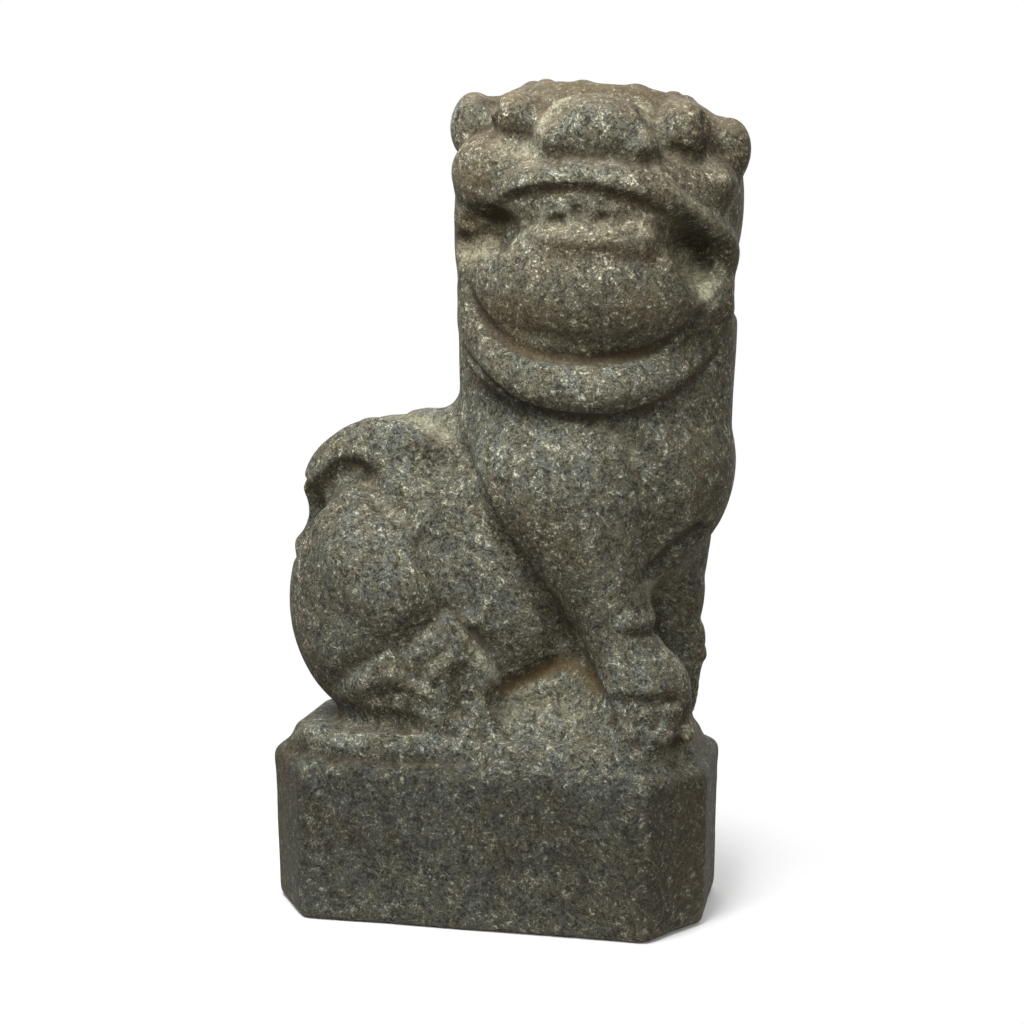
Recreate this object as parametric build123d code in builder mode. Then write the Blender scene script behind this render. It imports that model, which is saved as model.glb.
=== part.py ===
"""Seated guardian lion in dark stone, on a bevelled plinth, with its head turned to one side.

The lion sits along X with its rump at -X and its chest at +X, and looks towards -Y.
Each carved mass is a closed solid. Where two masses meet, the smaller one is cut by the larger,
so that they touch face to face. The origin is at the middle of the plinth's underside.
"""

import math
import os

from build123d import *

os.makedirs("parts", exist_ok=True)

# Plinth, a block with bevelled corners
PLINTH_LENGTH = 148.0
PLINTH_WIDTH = 84.0
PLINTH_HEIGHT = 54.5
PLINTH_CORNER_X = 16.0
PLINTH_CORNER_Y = 22.0
PLINTH_TAPER = -1.5
PLINTH_EDGE_ROUND = 4.0
PLINTH_FOOT_ROUND = 2.5

# Ground, the low mound that the lion sits on
GROUND_INSET = 4.0
GROUND_THICKNESS = 8.0
GROUND_EDGE_ROUND = 6.0

# Joint between neck and head, which the chest, neck and head keep their distances to
JOINT_HEIGHT = 138.0

# Body masses: centres above the ground and radii, along X, Y and Z
LION_X = 5.0
BODY_Y = 2.0
CHEST_X = 29.0
CHEST_BELOW_JOINT = 48.0
CHEST_ABOVE_GROUND = JOINT_HEIGHT - CHEST_BELOW_JOINT
CHEST_RADII = (47.0, 36.0, 45.0)
TORSO_X = -20.0
TORSO_ABOVE_GROUND = 44.0
TORSO_RADII = (50.0, 32.0, 48.0)
HAUNCH_X = -38.5
HAUNCH_OFFSET = 16.0
HAUNCH_ABOVE_GROUND = 44.0
HAUNCH_RADII = (36.0, 24.0, 44.0)
HAUNCH_LEAN = 6.0

# Stone left standing under the belly, between the legs
WEB_FRONT_X = 50.0
WEB_BACK_X = -4.0
WEB_THICKNESS = 56.0
WEB_HEIGHT = 46.0
WEB_SLOPE = 22.0

# Forelegs: four sections from the shoulder's top to the wrist, each with two radii
FORELEG_TOP = 114.0
FORELEG_TOP_RADII = (18.0, 8.0)
FORELEG_TOP_OFFSET = 14.0
SHOULDER_HEIGHT = 98.0
SHOULDER_RADII = (26.0, 17.0)
KNEE_HEIGHT = 60.0
KNEE_RADII = (18.5, 16.0)
WRIST_HEIGHT = 20.0
WRIST_RADII = (13.0, 12.5)
FORELEG_OFFSET = 22.0
FORELEG_SLANT = 20.0
FORELEG_X = {"near": (12.0, 16.0, 31.0, 45.0), "far": (26.0, 34.0, 49.0, 46.0)}

# Paws and toes
FOREPAW_LEAD = 4.0
FOREPAW_ABOVE_GROUND = 15.0
FOREPAW_RADII = (16.0, 14.0, 18.0)
HIND_FOOT_X = -26.0
HIND_FOOT_OFFSET = 24.0
HIND_FOOT_ABOVE_GROUND = 15.0
HIND_FOOT_RADII = (30.0, 12.0, 21.5)
HIND_FOOT_PITCH = -14.0
TOE_RADIUS = 4.5
TOE_ABOVE_GROUND = 4.0
TOE_COUNT = 4
TOE_REACH = 0.86
FORETOE_ANGLES = (-150.0, -20.0)
HIND_TOE_ANGLES = (-78.0, 12.0)

# Tail, an arch over the rump with plumes beside it
TAIL_RADIUS = 12.0
TAIL_ROOT = (-57.0, 40.0)
TAIL_BEND = (-64.0, 74.0)
TAIL_CREST = (-42.0, 92.0)
TAIL_TIP_X = -29.0
TAIL_TIP_ABOVE_GROUND = 95.0
TAIL_TIP_RADII = (18.0, 14.0, 12.0)
PLUME_X = -48.0
PLUME_OFFSET = 12.0
PLUME_ABOVE_GROUND = 86.0
PLUME_RADII = (24.0, 11.0, 17.0)
PLUME_LEAN = 24.0

# Neck: ellipses at its foot and at the joint
NECK_LENGTH = 46.0
NECK_FOOT = JOINT_HEIGHT - NECK_LENGTH
COLUMN_Y = 3.0
COLUMN_X = 28.5
NECK_RADII = (45.5, 33.0)
JOINT_RADII = (47.0, 35.0)

# Head column: ellipses at heights above the joint
JAW_LEVEL_HEIGHT = 22.0
JAW_LEVEL_RADII = (47.0, 35.0)
EYE_LEVEL_HEIGHT = 54.0
EYE_LEVEL_RADII = (46.0, 35.0)
CROWN_LEVEL_HEIGHT = 68.0
CROWN_LEVEL_RADII = (38.0, 28.0)
CROWN_HEIGHT = 74.5
CROWN_RADII = (25.0, 17.0)

# Head frame: turned towards +X and rolled, with its right side lower
HEAD_TURN = 10.0
HEAD_ROLL = 5.5
HEAD_ABOVE_JOINT = 34.0

# Face, in the head frame: across, forward and up from its middle, then radii
MUZZLE_PLACE = (0.0, 14.0, 6.0)
MUZZLE_RADII = (42.0, 31.0, 22.0)
JAW_PLACE = (1.5, 13.0, -24.0)
JAW_RADII = (44.0, 34.0, 28.0)
HOLLOW_PLACE = (35.0, 31.0, -8.5)
HOLLOW_RADII = (11.0, 17.0, 8.0)
LIP_RADIUS = 5.0
LIP_MIDDLE = (0.0, 42.5, 9.0)
LIP_CORNER = {"left": (40.5, 13.0, -5.8), "right": (42.5, 13.0, -8.7)}
TOOTH_COUNT = 6
TOOTH_PITCH = 5.8
TOOTH_GAP = 0.8
TOOTH_DEPTH = 7.0
TOOTH_HEIGHT = 15.0
TOOTH_UP = -2.0
TOOTH_ROW_RADIUS = 42.0
TOOTH_ROUND = 1.2
NOSE_PLACE = (-2.8, 34.0, 25.0)
NOSE_RADII = (18.5, 10.5, 12.0)
NOSTRIL_FROM_NOSE = (13.0, 2.0, -3.5)
NOSTRIL_RADII = (7.0, 8.0, 6.0)
EYE_PLACE = {"left": (29.0, 24.0, 28.0), "right": (23.8, 26.0, 29.0)}
EYE_RADII = (8.5, 8.0, 8.0)
EAR_PLACE = {"left": (43.0, 8.0, 24.5), "right": (39.2, 9.5, 23.5)}
EAR_RADII = (8.5, 9.0, 12.0)
EAR_LEAN = 6.0
CHEEK_PLACE = {"left": (38.0, 18.0, 10.0), "right": (33.5, 21.0, 12.0)}
CHEEK_RADII = (10.5, 12.0, 9.5)
RUFF_RADIUS = 9.0
RUFF_MIDDLE = (0.0, 36.0, -56.0)
RUFF_END = {"left": (36.0, 1.0, -28.0), "right": (36.0, 1.0, -28.0)}

# Curls: a ring on the crown and a row round the back, by bearing from the face
CURL_RADIUS = 5.0
CURL_SINK = 3.0
CROWN_CURL_BEARINGS = (20.0, 340.0)
CROWN_CURL_COUNT = 10
BACK_CURL_BEARINGS = (80.0, 280.0)
BACK_CURL_COUNT = 10

# Sections of each egg-shaped mass, and the angle from its axis to the edge of a flat pole
EGG_SECTIONS = 7
POLE_ANGLE = 7.0

# Turn that puts the column's seam at the back
SEAM_BACK = 90.0

SIDES = (("near", -1), ("far", 1))
HALVES = (("left", -1), ("right", 1))

ground_top = PLINTH_HEIGHT + GROUND_THICKNESS
head_middle = ground_top + JOINT_HEIGHT + HEAD_ABOVE_JOINT
head_frame = Location((LION_X + COLUMN_X, COLUMN_Y, head_middle), (0, HEAD_ROLL, HEAD_TURN))


def above_ground(x, y, height, turn=(0, 0, 0)):
    """A place on the lion, with its height counted from the ground's top."""
    return Location((LION_X + x, y, ground_top + height), turn)


def on_head(across, forward, up, turn=(0, 0, 0)):
    """A place on the head: across to the viewer's right, forward out of the face, and up."""
    return head_frame * Location((across, -forward, up), turn)


def mirrored(place, half):
    """The same place on the left (-1) or right (1) half of the face."""
    across, forward, up = place
    return half * across, forward, up


def spread(count, ends):
    """Evenly spaced angles, in radians, from one end to the other."""
    first, last = ends
    return [math.radians(first + (last - first) * number / (count - 1)) for number in range(count)]


def egg(radii, place):
    """A smooth mass of three radii, lofted from one small flat pole to the other."""
    along, across, up = radii
    with BuildPart(mode=Mode.PRIVATE) as mass:
        for latitude in spread(EGG_SECTIONS, (POLE_ANGLE - 90, 90 - POLE_ANGLE)):
            with BuildSketch(Plane.XY.offset(up * math.sin(latitude))):
                Ellipse(along * math.cos(latitude), across * math.cos(latitude))
        loft()
    return mass.part.moved(place)


def bead(radius, place):
    """A round mass, set at a place."""
    with BuildPart(mode=Mode.PRIVATE) as mass:
        Sphere(radius)
    return mass.part.moved(place)


def roll(radius, ends, middle):
    """A round roll swept along an arc, from the left half of the head to the right."""
    places = (mirrored(ends["left"], -1), middle, ends["right"])
    points = [on_head(*place).position for place in places]
    with BuildPart(mode=Mode.PRIVATE) as bent:
        with BuildLine() as path:
            ThreePointArc(*points)
        with BuildSketch(path.line ^ 0):
            Circle(radius)
        sweep()
    return bent.part


def toe_row(x, y, radii, angles, sign):
    """A row of toes round the front of a foot."""
    return [
        bead(
            TOE_RADIUS,
            above_ground(
                x + TOE_REACH * radii[0] * math.cos(angle),
                y - sign * TOE_REACH * radii[1] * math.sin(angle),
                TOE_ABOVE_GROUND,
            ),
        )
        for angle in spread(TOE_COUNT, angles)
    ]


def curl_ring(count, bearings, radii, height):
    """A ring of curls round the head's column, at a height above its joint."""
    return [
        bead(
            CURL_RADIUS,
            on_head(
                radii[0] * math.sin(bearing),
                radii[1] * math.cos(bearing),
                height - CURL_SINK - HEAD_ABOVE_JOINT,
            ),
        )
        for bearing in spread(count, bearings)
    ]


def keep(name, built):
    """Labels a finished piece and writes it."""
    built.part.label = name
    export_step(built.part, f"parts/{name}.step")
    print(name, "solids", len(built.part.solids()), "volume", round(built.part.volume))


def corner_points(inset):
    """The plinth's bevelled outline, drawn in by an inset."""
    half_length = PLINTH_LENGTH / 2 - inset
    half_width = PLINTH_WIDTH / 2 - inset
    bevel_x = half_length - PLINTH_CORNER_X
    bevel_y = half_width - PLINTH_CORNER_Y
    quarter = [(half_length, bevel_y), (bevel_x, half_width)]
    return [
        *quarter,
        *[(-x, y) for x, y in reversed(quarter)],
        *[(-x, -y) for x, y in quarter],
        *[(x, -y) for x, y in reversed(quarter)],
    ]


# Plinth
with BuildPart() as plinth:
    with BuildSketch():
        Polygon(*corner_points(0), align=None)
    extrude(amount=PLINTH_HEIGHT, taper=PLINTH_TAPER)
    upright = plinth.edges().filter_by(lambda e: abs(e.tangent_at(0.5).Z) > 0.5)
    fillet(upright, PLINTH_EDGE_ROUND)
    fillet(plinth.faces().sort_by(Axis.Z)[-1].edges(), PLINTH_EDGE_ROUND)
    fillet(plinth.faces().sort_by(Axis.Z)[0].edges(), PLINTH_FOOT_ROUND)
keep("plinth", plinth)

# Ground mound
with BuildPart() as ground:
    with BuildSketch(Plane.XY.offset(PLINTH_HEIGHT)):
        Polygon(*corner_points(GROUND_INSET), align=None)
    extrude(amount=GROUND_THICKNESS)
    fillet(ground.edges().filter_by(Axis.Z), GROUND_EDGE_ROUND)
    fillet(ground.faces().sort_by(Axis.Z)[-1].edges(), GROUND_EDGE_ROUND)
keep("ground", ground)

# Chest
chest_mass = egg(CHEST_RADII, above_ground(CHEST_X, BODY_Y, CHEST_ABOVE_GROUND))
with BuildPart() as chest:
    add(chest_mass)
keep("chest", chest)

# Neck
joint_plane = Plane(above_ground(COLUMN_X, COLUMN_Y, JOINT_HEIGHT))
with BuildPart() as neck:
    with BuildSketch(Plane(above_ground(COLUMN_X, COLUMN_Y, NECK_FOOT))):
        Ellipse(*reversed(NECK_RADII), rotation=SEAM_BACK)
    with BuildSketch(joint_plane):
        Ellipse(*reversed(JOINT_RADII), rotation=SEAM_BACK)
    loft()
    neck_mass = neck.part
    add(chest_mass, mode=Mode.SUBTRACT)
keep("neck", neck)

# Head, with a hollow at each corner of the mouth
hollows = [egg(HOLLOW_RADII, on_head(*mirrored(HOLLOW_PLACE, half))) for _, half in HALVES]
with BuildPart() as head:
    with BuildSketch(joint_plane):
        Ellipse(*reversed(JOINT_RADII), rotation=SEAM_BACK)
    for height, radii in (
        (JAW_LEVEL_HEIGHT, JAW_LEVEL_RADII),
        (EYE_LEVEL_HEIGHT, EYE_LEVEL_RADII),
        (CROWN_LEVEL_HEIGHT, CROWN_LEVEL_RADII),
        (CROWN_HEIGHT, CROWN_RADII),
    ):
        with BuildSketch(Plane(on_head(0, 0, height - HEAD_ABOVE_JOINT))):
            Ellipse(*reversed(radii), rotation=SEAM_BACK)
    loft()
    head_mass = head.part
    for mass in hollows:
        add(mass, mode=Mode.SUBTRACT)
keep("head", head)

# Torso
torso_mass = egg(TORSO_RADII, above_ground(TORSO_X, BODY_Y, TORSO_ABOVE_GROUND))
with BuildPart() as torso:
    add(torso_mass)
    for mass in (chest_mass, ground.part):
        add(mass, mode=Mode.SUBTRACT)
keep("torso", torso)

# Haunches
haunch_mass = {}
for side, sign in SIDES:
    place = above_ground(
        HAUNCH_X, BODY_Y + sign * HAUNCH_OFFSET, HAUNCH_ABOVE_GROUND, (0, HAUNCH_LEAN, 0)
    )
    haunch_mass[side] = egg(HAUNCH_RADII, place)
    with BuildPart() as haunch:
        add(haunch_mass[side])
        for mass in (torso_mass, ground.part):
            add(mass, mode=Mode.SUBTRACT)
    keep(f"{side}_haunch", haunch)

# Hind feet
foot_mass = {}
for side, sign in SIDES:
    place = above_ground(
        HIND_FOOT_X,
        BODY_Y + sign * HIND_FOOT_OFFSET,
        HIND_FOOT_ABOVE_GROUND,
        (0, HIND_FOOT_PITCH, 0),
    )
    foot_mass[side] = egg(HIND_FOOT_RADII, place)
    with BuildPart() as hind_foot:
        add(foot_mass[side])
        for mass in (torso_mass, haunch_mass[side], ground.part):
            add(mass, mode=Mode.SUBTRACT)
    keep(f"{side}_hind_foot", hind_foot)

# Forepaws
paw_mass = {}
for side, sign in SIDES:
    paw_x = FORELEG_X[side][-1] + FOREPAW_LEAD
    paw_y = BODY_Y + sign * FORELEG_OFFSET
    paw_mass[side] = egg(FOREPAW_RADII, above_ground(paw_x, paw_y, FOREPAW_ABOVE_GROUND))
    with BuildPart() as forepaw:
        add(paw_mass[side])
        add(ground.part, mode=Mode.SUBTRACT)
    keep(f"{side}_forepaw", forepaw)

# Forelegs
foreleg_mass = {}
for side, sign in SIDES:
    sections = (
        (FORELEG_TOP, FORELEG_TOP_OFFSET, FORELEG_TOP_RADII),
        (SHOULDER_HEIGHT, FORELEG_OFFSET, SHOULDER_RADII),
        (KNEE_HEIGHT, FORELEG_OFFSET, KNEE_RADII),
        (WRIST_HEIGHT, FORELEG_OFFSET, WRIST_RADII),
    )
    with BuildPart() as foreleg:
        for x, (height, offset, radii) in zip(FORELEG_X[side], sections):
            place = above_ground(x, BODY_Y + sign * offset, height, (0, -FORELEG_SLANT, 0))
            with BuildSketch(Plane(place)):
                Ellipse(*radii)
        loft()
        foreleg_mass[side] = foreleg.part
        for mass in (chest_mass, neck_mass, torso_mass, paw_mass[side]):
            add(mass, mode=Mode.SUBTRACT)
    keep(f"{side}_foreleg", foreleg)

# Stone under the belly
with BuildPart() as belly_web:
    with BuildSketch(Plane.XY.offset(ground_top)):
        with Locations((LION_X + (WEB_BACK_X + WEB_FRONT_X) / 2, BODY_Y)):
            Rectangle(WEB_FRONT_X - WEB_BACK_X, WEB_THICKNESS)
    extrude(amount=WEB_HEIGHT, taper=WEB_SLOPE)
    web_mass = belly_web.part
    for mass in (torso_mass, chest_mass):
        add(mass, mode=Mode.SUBTRACT)
    for side, _ in SIDES:
        for mass in (foreleg_mass[side], paw_mass[side], foot_mass[side]):
            add(mass, mode=Mode.SUBTRACT)
keep("belly_web", belly_web)

# Toes
for side, sign in SIDES:
    paw_x = FORELEG_X[side][-1] + FOREPAW_LEAD
    paw_y = BODY_Y + sign * FORELEG_OFFSET
    with BuildPart() as forepaw_toes:
        add(toe_row(paw_x, paw_y, FOREPAW_RADII, FORETOE_ANGLES, sign))
        for mass in (paw_mass[side], web_mass, ground.part):
            add(mass, mode=Mode.SUBTRACT)
    keep(f"{side}_forepaw_toes", forepaw_toes)
    foot_y = BODY_Y + sign * HIND_FOOT_OFFSET
    with BuildPart() as hind_toes:
        add(toe_row(HIND_FOOT_X, foot_y, HIND_FOOT_RADII, HIND_TOE_ANGLES, sign))
        for mass in (foot_mass[side], torso_mass, web_mass, ground.part):
            add(mass, mode=Mode.SUBTRACT)
    keep(f"{side}_hind_toes", hind_toes)

# Tail root, swept along an arch over the rump
tail_points = [above_ground(x, BODY_Y, z).position for x, z in (TAIL_ROOT, TAIL_BEND, TAIL_CREST)]
with BuildPart() as tail_root:
    with BuildLine() as tail_path:
        ThreePointArc(*tail_points)
    with BuildSketch(tail_path.line ^ 0):
        Circle(TAIL_RADIUS)
    sweep()
    tail_mass = tail_root.part
    for mass in (torso_mass, *haunch_mass.values()):
        add(mass, mode=Mode.SUBTRACT)
keep("tail_root", tail_root)

# Tail plumes
plume_mass = {}
for side, sign in SIDES:
    place = above_ground(
        PLUME_X, BODY_Y + sign * PLUME_OFFSET, PLUME_ABOVE_GROUND, (0, -PLUME_LEAN, 0)
    )
    plume_mass[side] = egg(PLUME_RADII, place)
    with BuildPart() as plume:
        add(plume_mass[side])
        for mass in (tail_mass, torso_mass, haunch_mass[side]):
            add(mass, mode=Mode.SUBTRACT)
    keep(f"{side}_tail_plume", plume)

# Tail tip
with BuildPart() as tail_tip:
    add(egg(TAIL_TIP_RADII, above_ground(TAIL_TIP_X, BODY_Y, TAIL_TIP_ABOVE_GROUND)))
    for mass in (tail_mass, *plume_mass.values(), torso_mass, chest_mass, neck_mass):
        add(mass, mode=Mode.SUBTRACT)
keep("tail_tip", tail_tip)

# Muzzle
muzzle_mass = egg(MUZZLE_RADII, on_head(*MUZZLE_PLACE))
with BuildPart() as muzzle:
    add(muzzle_mass)
    for mass in (head_mass, *hollows):
        add(mass, mode=Mode.SUBTRACT)
keep("muzzle", muzzle)

# Lower jaw
jaw_mass = egg(JAW_RADII, on_head(*JAW_PLACE))
with BuildPart() as lower_jaw:
    add(jaw_mass)
    for mass in (head_mass, neck_mass, chest_mass, muzzle_mass, *hollows):
        add(mass, mode=Mode.SUBTRACT)
keep("lower_jaw", lower_jaw)

# Upper lip
lip_mass = roll(LIP_RADIUS, LIP_CORNER, LIP_MIDDLE)
with BuildPart() as upper_lip:
    add(lip_mass)
    for mass in (head_mass, muzzle_mass, jaw_mass):
        add(mass, mode=Mode.SUBTRACT)
keep("upper_lip", upper_lip)

# Ruff under the chin
with BuildPart() as ruff:
    add(roll(RUFF_RADIUS, RUFF_END, RUFF_MIDDLE))
    for mass in (head_mass, neck_mass, jaw_mass, chest_mass):
        add(mass, mode=Mode.SUBTRACT)
keep("ruff", ruff)

# Teeth, clenched between the lips
with BuildPart() as teeth:
    for number in range(TOOTH_COUNT):
        turn = math.degrees((number - (TOOTH_COUNT - 1) / 2) * TOOTH_PITCH / TOOTH_ROW_RADIUS)
        place = on_head(0, 0, TOOTH_UP, (0, 0, turn)) * Location((0, -TOOTH_ROW_RADIUS, 0))
        with BuildSketch(Plane(place)):
            RectangleRounded(TOOTH_PITCH - TOOTH_GAP, TOOTH_DEPTH, TOOTH_ROUND)
        extrude(amount=TOOTH_HEIGHT / 2, both=True)
    for mass in (head_mass, muzzle_mass, jaw_mass, lip_mass):
        add(mass, mode=Mode.SUBTRACT)
keep("teeth", teeth)

# Nose with its two nostril wings
with BuildPart() as nose:
    add(egg(NOSE_RADII, on_head(*NOSE_PLACE)))
    for _, half in HALVES:
        offset = mirrored(NOSTRIL_FROM_NOSE, half)
        place = [nose_side + step for nose_side, step in zip(NOSE_PLACE, offset)]
        add(egg(NOSTRIL_RADII, on_head(*place)))
    nose_mass = nose.part
    for mass in (head_mass, muzzle_mass):
        add(mass, mode=Mode.SUBTRACT)
keep("nose", nose)

# Eyes, cheeks and ears
ear_masses = []
for name, half in HALVES:
    eye_mass = egg(EYE_RADII, on_head(*mirrored(EYE_PLACE[name], half)))
    cheek_mass = egg(CHEEK_RADII, on_head(*mirrored(CHEEK_PLACE[name], half)))
    ear_place = on_head(*mirrored(EAR_PLACE[name], half), (0, half * EAR_LEAN, 0))
    ear_masses.append(egg(EAR_RADII, ear_place))
    with BuildPart() as eye:
        add(eye_mass)
        for mass in (head_mass, muzzle_mass, nose_mass):
            add(mass, mode=Mode.SUBTRACT)
    keep(f"{name}_eye", eye)
    with BuildPart() as cheek:
        add(cheek_mass)
        for mass in (head_mass, muzzle_mass, eye_mass, lip_mass):
            add(mass, mode=Mode.SUBTRACT)
    keep(f"{name}_cheek", cheek)
    with BuildPart() as ear:
        add(ear_masses[-1])
        for mass in (head_mass, cheek_mass):
            add(mass, mode=Mode.SUBTRACT)
    keep(f"{name}_ear", ear)

# Curls on the crown and round the back of the head
with BuildPart() as crown_curls:
    add(curl_ring(CROWN_CURL_COUNT, CROWN_CURL_BEARINGS, CROWN_RADII, CROWN_HEIGHT))
    for mass in (head_mass, nose_mass):
        add(mass, mode=Mode.SUBTRACT)
keep("crown_curls", crown_curls)
with BuildPart() as back_curls:
    add(curl_ring(BACK_CURL_COUNT, BACK_CURL_BEARINGS, CROWN_LEVEL_RADII, CROWN_LEVEL_HEIGHT))
    for mass in (head_mass, *ear_masses):
        add(mass, mode=Mode.SUBTRACT)
keep("back_curls", back_curls)
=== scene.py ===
"""Looks of a seated guardian lion, carved from one block of dark speckled stone.

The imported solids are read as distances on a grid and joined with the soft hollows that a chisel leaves.
Strokes drawn over the photograph carve the folds, toes and teeth, and the surface is pecked and worn.
The block is then cut apart again where the solids meet, so that each node has a closed piece of its own.
Sizes are in millimetres, and become metres where a mesh, a shader, a lamp or the camera is made.
"""
import math
from typing import NamedTuple

import bpy
import numpy as np
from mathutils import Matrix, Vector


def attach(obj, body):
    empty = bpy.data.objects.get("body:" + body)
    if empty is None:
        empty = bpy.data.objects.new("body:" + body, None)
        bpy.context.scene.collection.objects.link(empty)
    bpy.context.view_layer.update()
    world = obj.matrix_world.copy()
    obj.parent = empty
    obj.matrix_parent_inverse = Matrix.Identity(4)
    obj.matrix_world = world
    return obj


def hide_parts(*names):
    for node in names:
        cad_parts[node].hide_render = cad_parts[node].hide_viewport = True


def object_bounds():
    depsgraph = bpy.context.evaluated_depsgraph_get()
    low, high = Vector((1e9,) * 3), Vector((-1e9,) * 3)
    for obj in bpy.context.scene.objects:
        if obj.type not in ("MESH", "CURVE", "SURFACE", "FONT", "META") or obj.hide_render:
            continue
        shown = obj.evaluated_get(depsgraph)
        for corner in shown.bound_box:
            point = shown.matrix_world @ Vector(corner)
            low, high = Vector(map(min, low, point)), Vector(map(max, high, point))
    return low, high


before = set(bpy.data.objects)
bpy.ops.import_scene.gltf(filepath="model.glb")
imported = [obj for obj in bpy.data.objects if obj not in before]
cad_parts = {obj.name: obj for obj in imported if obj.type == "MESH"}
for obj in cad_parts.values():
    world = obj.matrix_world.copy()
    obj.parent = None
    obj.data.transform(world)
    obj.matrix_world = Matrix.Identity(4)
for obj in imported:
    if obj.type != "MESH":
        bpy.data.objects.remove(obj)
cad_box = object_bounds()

import openvdb
from mathutils import Vector

MM = 0.001
TINY = 1e-9

# Grid of distances: its voxels, the room round the solids and how far from a surface it reaches.
# A place is kept so many voxels short of the grid's end, so that it always has a next voxel.
VOXEL = 0.8
MARGIN = 15.0
BAND = 13.0
SHORT_OF_END = 1.001

# Camera, where the square photograph was taken from, and how its sight lines are followed
PHOTO_WIDTH = 1024
FOCAL_PIXELS = 1750.0
SENSOR_WIDTH = 36.0
CAMERA_BEARING = 12.0
CAMERA_RISE = 7.0
CAMERA_DISTANCE = 600.0
CAMERA_AIM = np.array((5.0, 0.0, 134.5))
SIGHT_REACH = 180.0
SIGHT_STEP = 0.5

# Masses that are joined in turn, each with the radius of the hollows left round it
COLUMN = ("chest", "neck", "head")
TRUNK = ("torso", "near_haunch", "far_haunch")
BASE = ("plinth", "ground")
TAIL = ("tail_root", "near_tail_plume", "far_tail_plume", "tail_tip")
JAWS = ("muzzle", "lower_jaw", "ruff", "teeth", "upper_lip", "left_cheek", "right_cheek")
LEGS = ("near_foreleg", "far_foreleg", "near_forepaw", "far_forepaw", "belly_web")
COLUMN_HOLLOW = 9.0
TRUNK_HOLLOW = 5.0
BASE_HOLLOW = 4.0
JAW_HOLLOW = 5.0
TAIL_HOLLOW = 8.0
LEG_HOLLOW = 11.0
FOOT_HOLLOW = 3.0
FACE_HOLLOW = 3.0
MIDDLE_Y = 2.0

# How far the jaws and ruff stand out of the column, at its sides and at its front
COLUMN_AXIS = (33.5, 3.0)
FACE_BEARING = 10.0
PROUD_SIDE = 0.5
PROUD_FRONT = 17.0
PROUD_EASE = 1.5

# Wear: how far the edges are rubbed down, and the waves, dents and pecks of the surface
RUBBED = 0.9
WAVE_SPACING = 26.0
WAVE_HEIGHT = 0.9
WAVE_SEED = 1
DENT_SPACING = 9.0
DENT_HEIGHT = 0.35
DENT_SEED = 2
PECK_SPACING = 3.2
PECK_DEPTH = 0.45
PECK_LEVEL = 0.12
PECK_SEED = 3
CUBIC_KNOTS = 4

# Strokes: the rounding of their edges, the share of their length that fades out at each end,
# how strong they are at the very end, and how their points become a smooth line on the stone
STROKE_SOFTNESS = 1.6
FADE_SHARE = 0.25
END_STRENGTH = 0.25
CORNER_SHARE = 0.25
CORNER_ROUNDS = 2
SETTLING_ROUNDS = 4

# Joints between the pieces: how far a piece runs under its neighbour, and how steeply it dives there
OVERLAP = 2.0
DIVE = 0.15

# Scales at which a hollow shows, for dust, for worn edges with a painted highlight, and for painted shade
# in creases
CREASE_SCALE = 1.3
RECESS_SCALE = 5.0


class Stroke(NamedTuple):
    """A chisel stroke: points in the photograph, and a radius and a depth in millimetres."""

    photo: tuple
    radius: float
    depth: float
    far_too: bool = False


# Broad swells that are left standing
SWELLS = {
    "left side of the head": Stroke(
        ((466, 152), (462, 180), (460, 212), (461, 250), (464, 295), (466, 340)),
        13.0, 1.7,
    ),
    "upper lip": Stroke(
        ((494, 196), (520, 182), (553, 175), (583, 173), (615, 177), (640, 185), (664, 198)),
        6.5, 1.6,
    ),
    "left end of the ground": Stroke(((296, 744), (310, 734), (326, 726)), 7.0, 3.0),
    "haunch": Stroke(((352, 556), (372, 574), (384, 592)), 24.0, 4.4, far_too=True),
    "crown": Stroke(((540, 87), (566, 90), (609, 90), (657, 97), (690, 106)), 10.0, 1.8),
    "far foreleg": Stroke(((664, 575), (676, 602), (682, 636)), 14.0, 2.2),
    "below the teeth": Stroke(
        ((520, 243), (560, 246), (600, 247), (640, 246), (660, 243)),
        9.0, 1.3,
    ),
    "right side of the jaw": Stroke(((728, 260), (726, 279), (725, 297), (727, 318)), 9.0, 2.5),
}

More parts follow.
